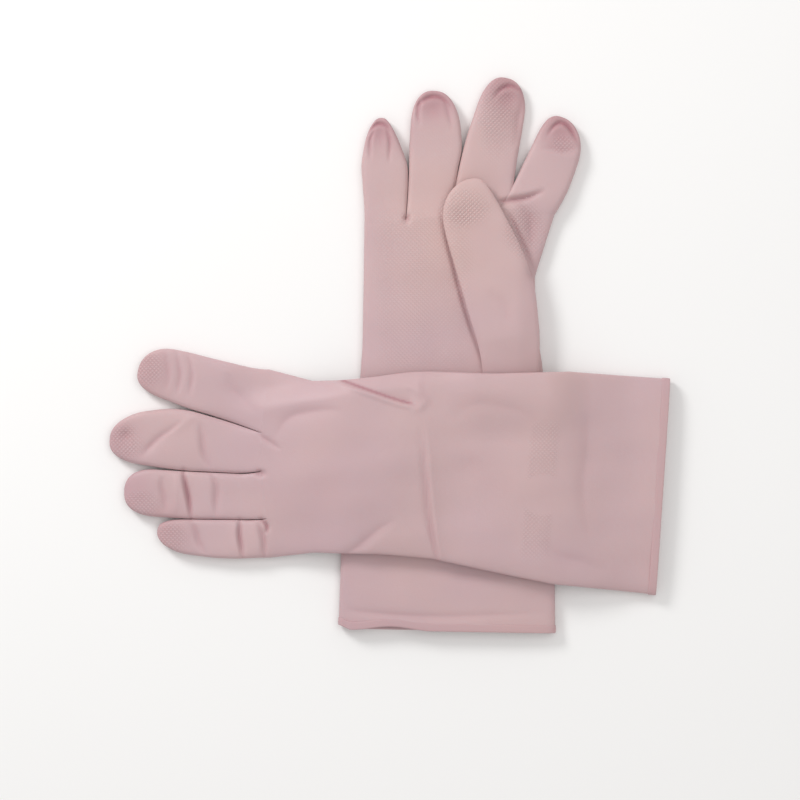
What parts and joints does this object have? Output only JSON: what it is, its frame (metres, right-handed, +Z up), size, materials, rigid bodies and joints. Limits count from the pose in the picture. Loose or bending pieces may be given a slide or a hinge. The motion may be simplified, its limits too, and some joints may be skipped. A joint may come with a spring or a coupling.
{
  "type": "rubber gloves",
  "caption": "Pair of household rubber gloves lying flat and crossed, long cuffs, one palm up with its thumb folded across, fingers that fold at their roots.",
  "frame": {"origin": "on the table, under the middle of the crossed pair's bounding box", "axes": "+Z up from the table; +Y from the lower glove's cuff to its fingers; -X from the upper glove's cuff to its fingers"},
  "size_m": [0.3252, 0.3224, 0.0272],
  "materials": {
    "film": "matt dipped natural rubber, soft pink",
    "bead": "matt dipped natural rubber, rolled edge"
  },
  "bodies": {
    "right_glove": {"right_cuff_bead": "bead", "right_cuff": "film", "right_hand": "film"},
    "left_cuff": {"left_cuff_bead": "bead", "left_cuff": "film"},
    "left_hand": {"left_hand": "film"},
    "right_little_finger": {"right_little_finger": "film"},
    "right_ring_finger": {"right_ring_finger": "film"},
    "right_middle_finger": {"right_middle_finger": "film"},
    "right_index_finger": {"right_index_finger": "film"},
    "right_thumb": {"right_thumb": "film"},
    "left_little_finger": {"left_little_finger": "film"},
    "left_ring_finger": {"left_ring_finger": "film"},
    "left_middle_finger": {"left_middle_finger": "film"},
    "left_index_finger": {"left_index_finger": "film"},
    "left_thumb": {"left_thumb": "film"}
  },
  "joints": [
    {"name": "left_glove_lift", "type": "slide", "parent": "right_glove", "child": "left_cuff", "axis": [0, 0, 1], "range_m": [0, 0.12]},
    {"name": "left_wrist_fold", "type": "hinge", "parent": "left_cuff", "child": "left_hand", "pos_m": [0.02829, -0.06794, 0.0198], "axis": [0.0454, 0.999, 0], "range_deg": [0, 90]},
    {"name": "left_little_finger_fold", "type": "hinge", "parent": "left_hand", "child": "left_little_finger", "pos_m": [-0.0886, -0.10661, 0.009], "axis": [0, 1, 0], "range_deg": [0, 80]},
    {"name": "left_ring_finger_fold", "type": "hinge", "parent": "left_hand", "child": "left_ring_finger", "pos_m": [-0.0911, -0.07984, 0.009], "axis": [0, 1, 0], "range_deg": [0, 80]},
    {"name": "left_middle_finger_fold", "type": "hinge", "parent": "left_hand", "child": "left_middle_finger", "pos_m": [-0.0926, -0.05161, 0.009], "axis": [0, 1, 0], "range_deg": [0, 80]},
    {"name": "left_index_finger_fold", "type": "hinge", "parent": "left_hand", "child": "left_index_finger", "pos_m": [-0.0906, -0.02, 0.009], "axis": [0, 1, 0], "range_deg": [0, 80]},
    {"name": "right_little_finger_fold", "type": "hinge", "parent": "right_glove", "child": "right_little_finger", "pos_m": [-0.00425, 0.10085, 0.0086], "axis": [0.9996, 0.0298, 0], "range_deg": [0, 80]},
    {"name": "right_ring_finger_fold", "type": "hinge", "parent": "right_glove", "child": "right_ring_finger", "pos_m": [0.02398, 0.10935, 0.0086], "axis": [0.9986, -0.0537, 0], "range_deg": [0, 80]},
    {"name": "right_middle_finger_fold", "type": "hinge", "parent": "right_glove", "child": "right_middle_finger", "pos_m": [0.05712, 0.11485, 0.0086], "axis": [0.9681, -0.2506, 0], "range_deg": [0, 80]},
    {"name": "right_index_finger_fold", "type": "hinge", "parent": "right_glove", "child": "right_index_finger", "pos_m": [0.09053, 0.10885, 0.0086], "axis": [0.9282, -0.3721, 0], "range_deg": [0, 80]},
    {"name": "right_thumb_fold", "type": "hinge", "parent": "right_glove", "child": "right_thumb", "pos_m": [0.05771, 0.03235, 0.0164], "axis": [0.9845, 0.1756, 0], "range_deg": [0, 80]},
    {"name": "left_thumb_swing", "type": "hinge", "parent": "left_hand", "child": "left_thumb", "pos_m": [-0.0301, -0.04512, 0.00905], "axis": [0.2357, -0.9718, 0], "range_deg": [0, 60]}
  ],
  "couplings": [
    {"joint": "left_thumb_swing", "follows": "left_glove_lift", "rad_per_m": 8.7}
  ]
}
